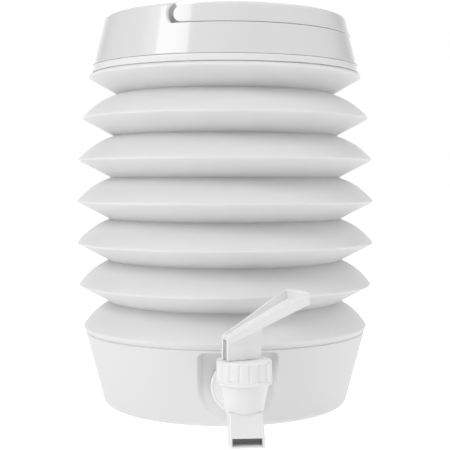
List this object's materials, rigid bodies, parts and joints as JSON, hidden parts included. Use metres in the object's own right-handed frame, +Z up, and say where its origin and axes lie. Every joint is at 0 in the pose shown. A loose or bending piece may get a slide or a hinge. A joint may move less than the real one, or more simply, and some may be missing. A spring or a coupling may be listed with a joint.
{
  "type": "collapsible liquid dispenser",
  "caption": "Concertina liquid dispenser: tapered base bowl with a front lever tap, folding translucent bellows, neck collar and push-on lid with a swing-up carry handle.",
  "frame": {"origin": "middle of the underside of the base bowl, on the vessel's axis, on the table", "axes": "+Z up along the vessel's axis; the tap faces -Y; the folded handle's grip lies towards +X"},
  "size_m": [0.2097, 0.2508, 0.2705],
  "materials": {
    "bowl_white": "satin moulded polypropylene",
    "lid_white": "gloss moulded ABS",
    "bellows_milky": "milky blow-moulded LDPE",
    "tap_white": "gloss moulded polypropylene",
    "ring_white": "plain moulded polypropylene",
    "seal_clear": "milky silicone",
    "pin_steel": "drawn stainless wire"
  },
  "bodies": {
    "base": {"base_bowl": "bowl_white", "lower_seal": "seal_clear", "lower_clamp_ring": "ring_white", "bellows": "bellows_milky", "tap_body": "tap_white", "front_gasket": "seal_clear", "rear_gasket": "seal_clear", "back_nut": "tap_white", "tap_cap": "tap_white", "gland_ring": "seal_clear", "tap_spring": "pin_steel"},
    "upper": {"neck_collar": "lid_white", "upper_seal": "seal_clear", "upper_clamp_ring": "ring_white"},
    "lid": {"lid_shell": "lid_white", "lid_gasket": "seal_clear"},
    "handle": {"carry_handle": "lid_white"},
    "valve": {"seat_cup": "seal_clear"},
    "stem": {"tap_stem": "tap_white", "lever_pin": "pin_steel"},
    "lever": {"tap_lever": "tap_white"}
  },
  "joints": [
    {"name": "collapse", "type": "slide", "parent": "base", "child": "upper", "axis": [0, 0, -1], "range_m": [0, 0.129], "deforming": ["bellows"]},
    {"name": "lid_lift", "type": "slide", "parent": "upper", "child": "lid", "axis": [0, 0, 1], "range_m": [0, 0.06]},
    {"name": "handle_swing", "type": "hinge", "parent": "lid", "child": "handle", "pos_m": [-0.0345, 0, 0.2628], "axis": [0, -1, 0], "range_deg": [0, 75]},
    {"name": "stem_lift", "type": "slide", "parent": "base", "child": "valve", "axis": [0, 0, 1], "range_m": [0, 0.00222], "stiffness_N_per_m": 600, "springref_m": -0.004, "deforming": ["tap_spring"]},
    {"name": "lever_swivel", "type": "hinge", "parent": "valve", "child": "stem", "pos_m": [0, -0.126, 0.04], "axis": [0, 0, 1], "range_deg": [-216, 0]},
    {"name": "lever_tilt", "type": "hinge", "parent": "stem", "child": "lever", "pos_m": [0, -0.126, 0.06], "axis": [-0.309, 0.9511, 0], "range_deg": [0, 24]}
  ],
  "couplings": [
    {"joint": "lever_tilt", "follows": "stem_lift", "rad_per_m": 188.68}
  ]
}
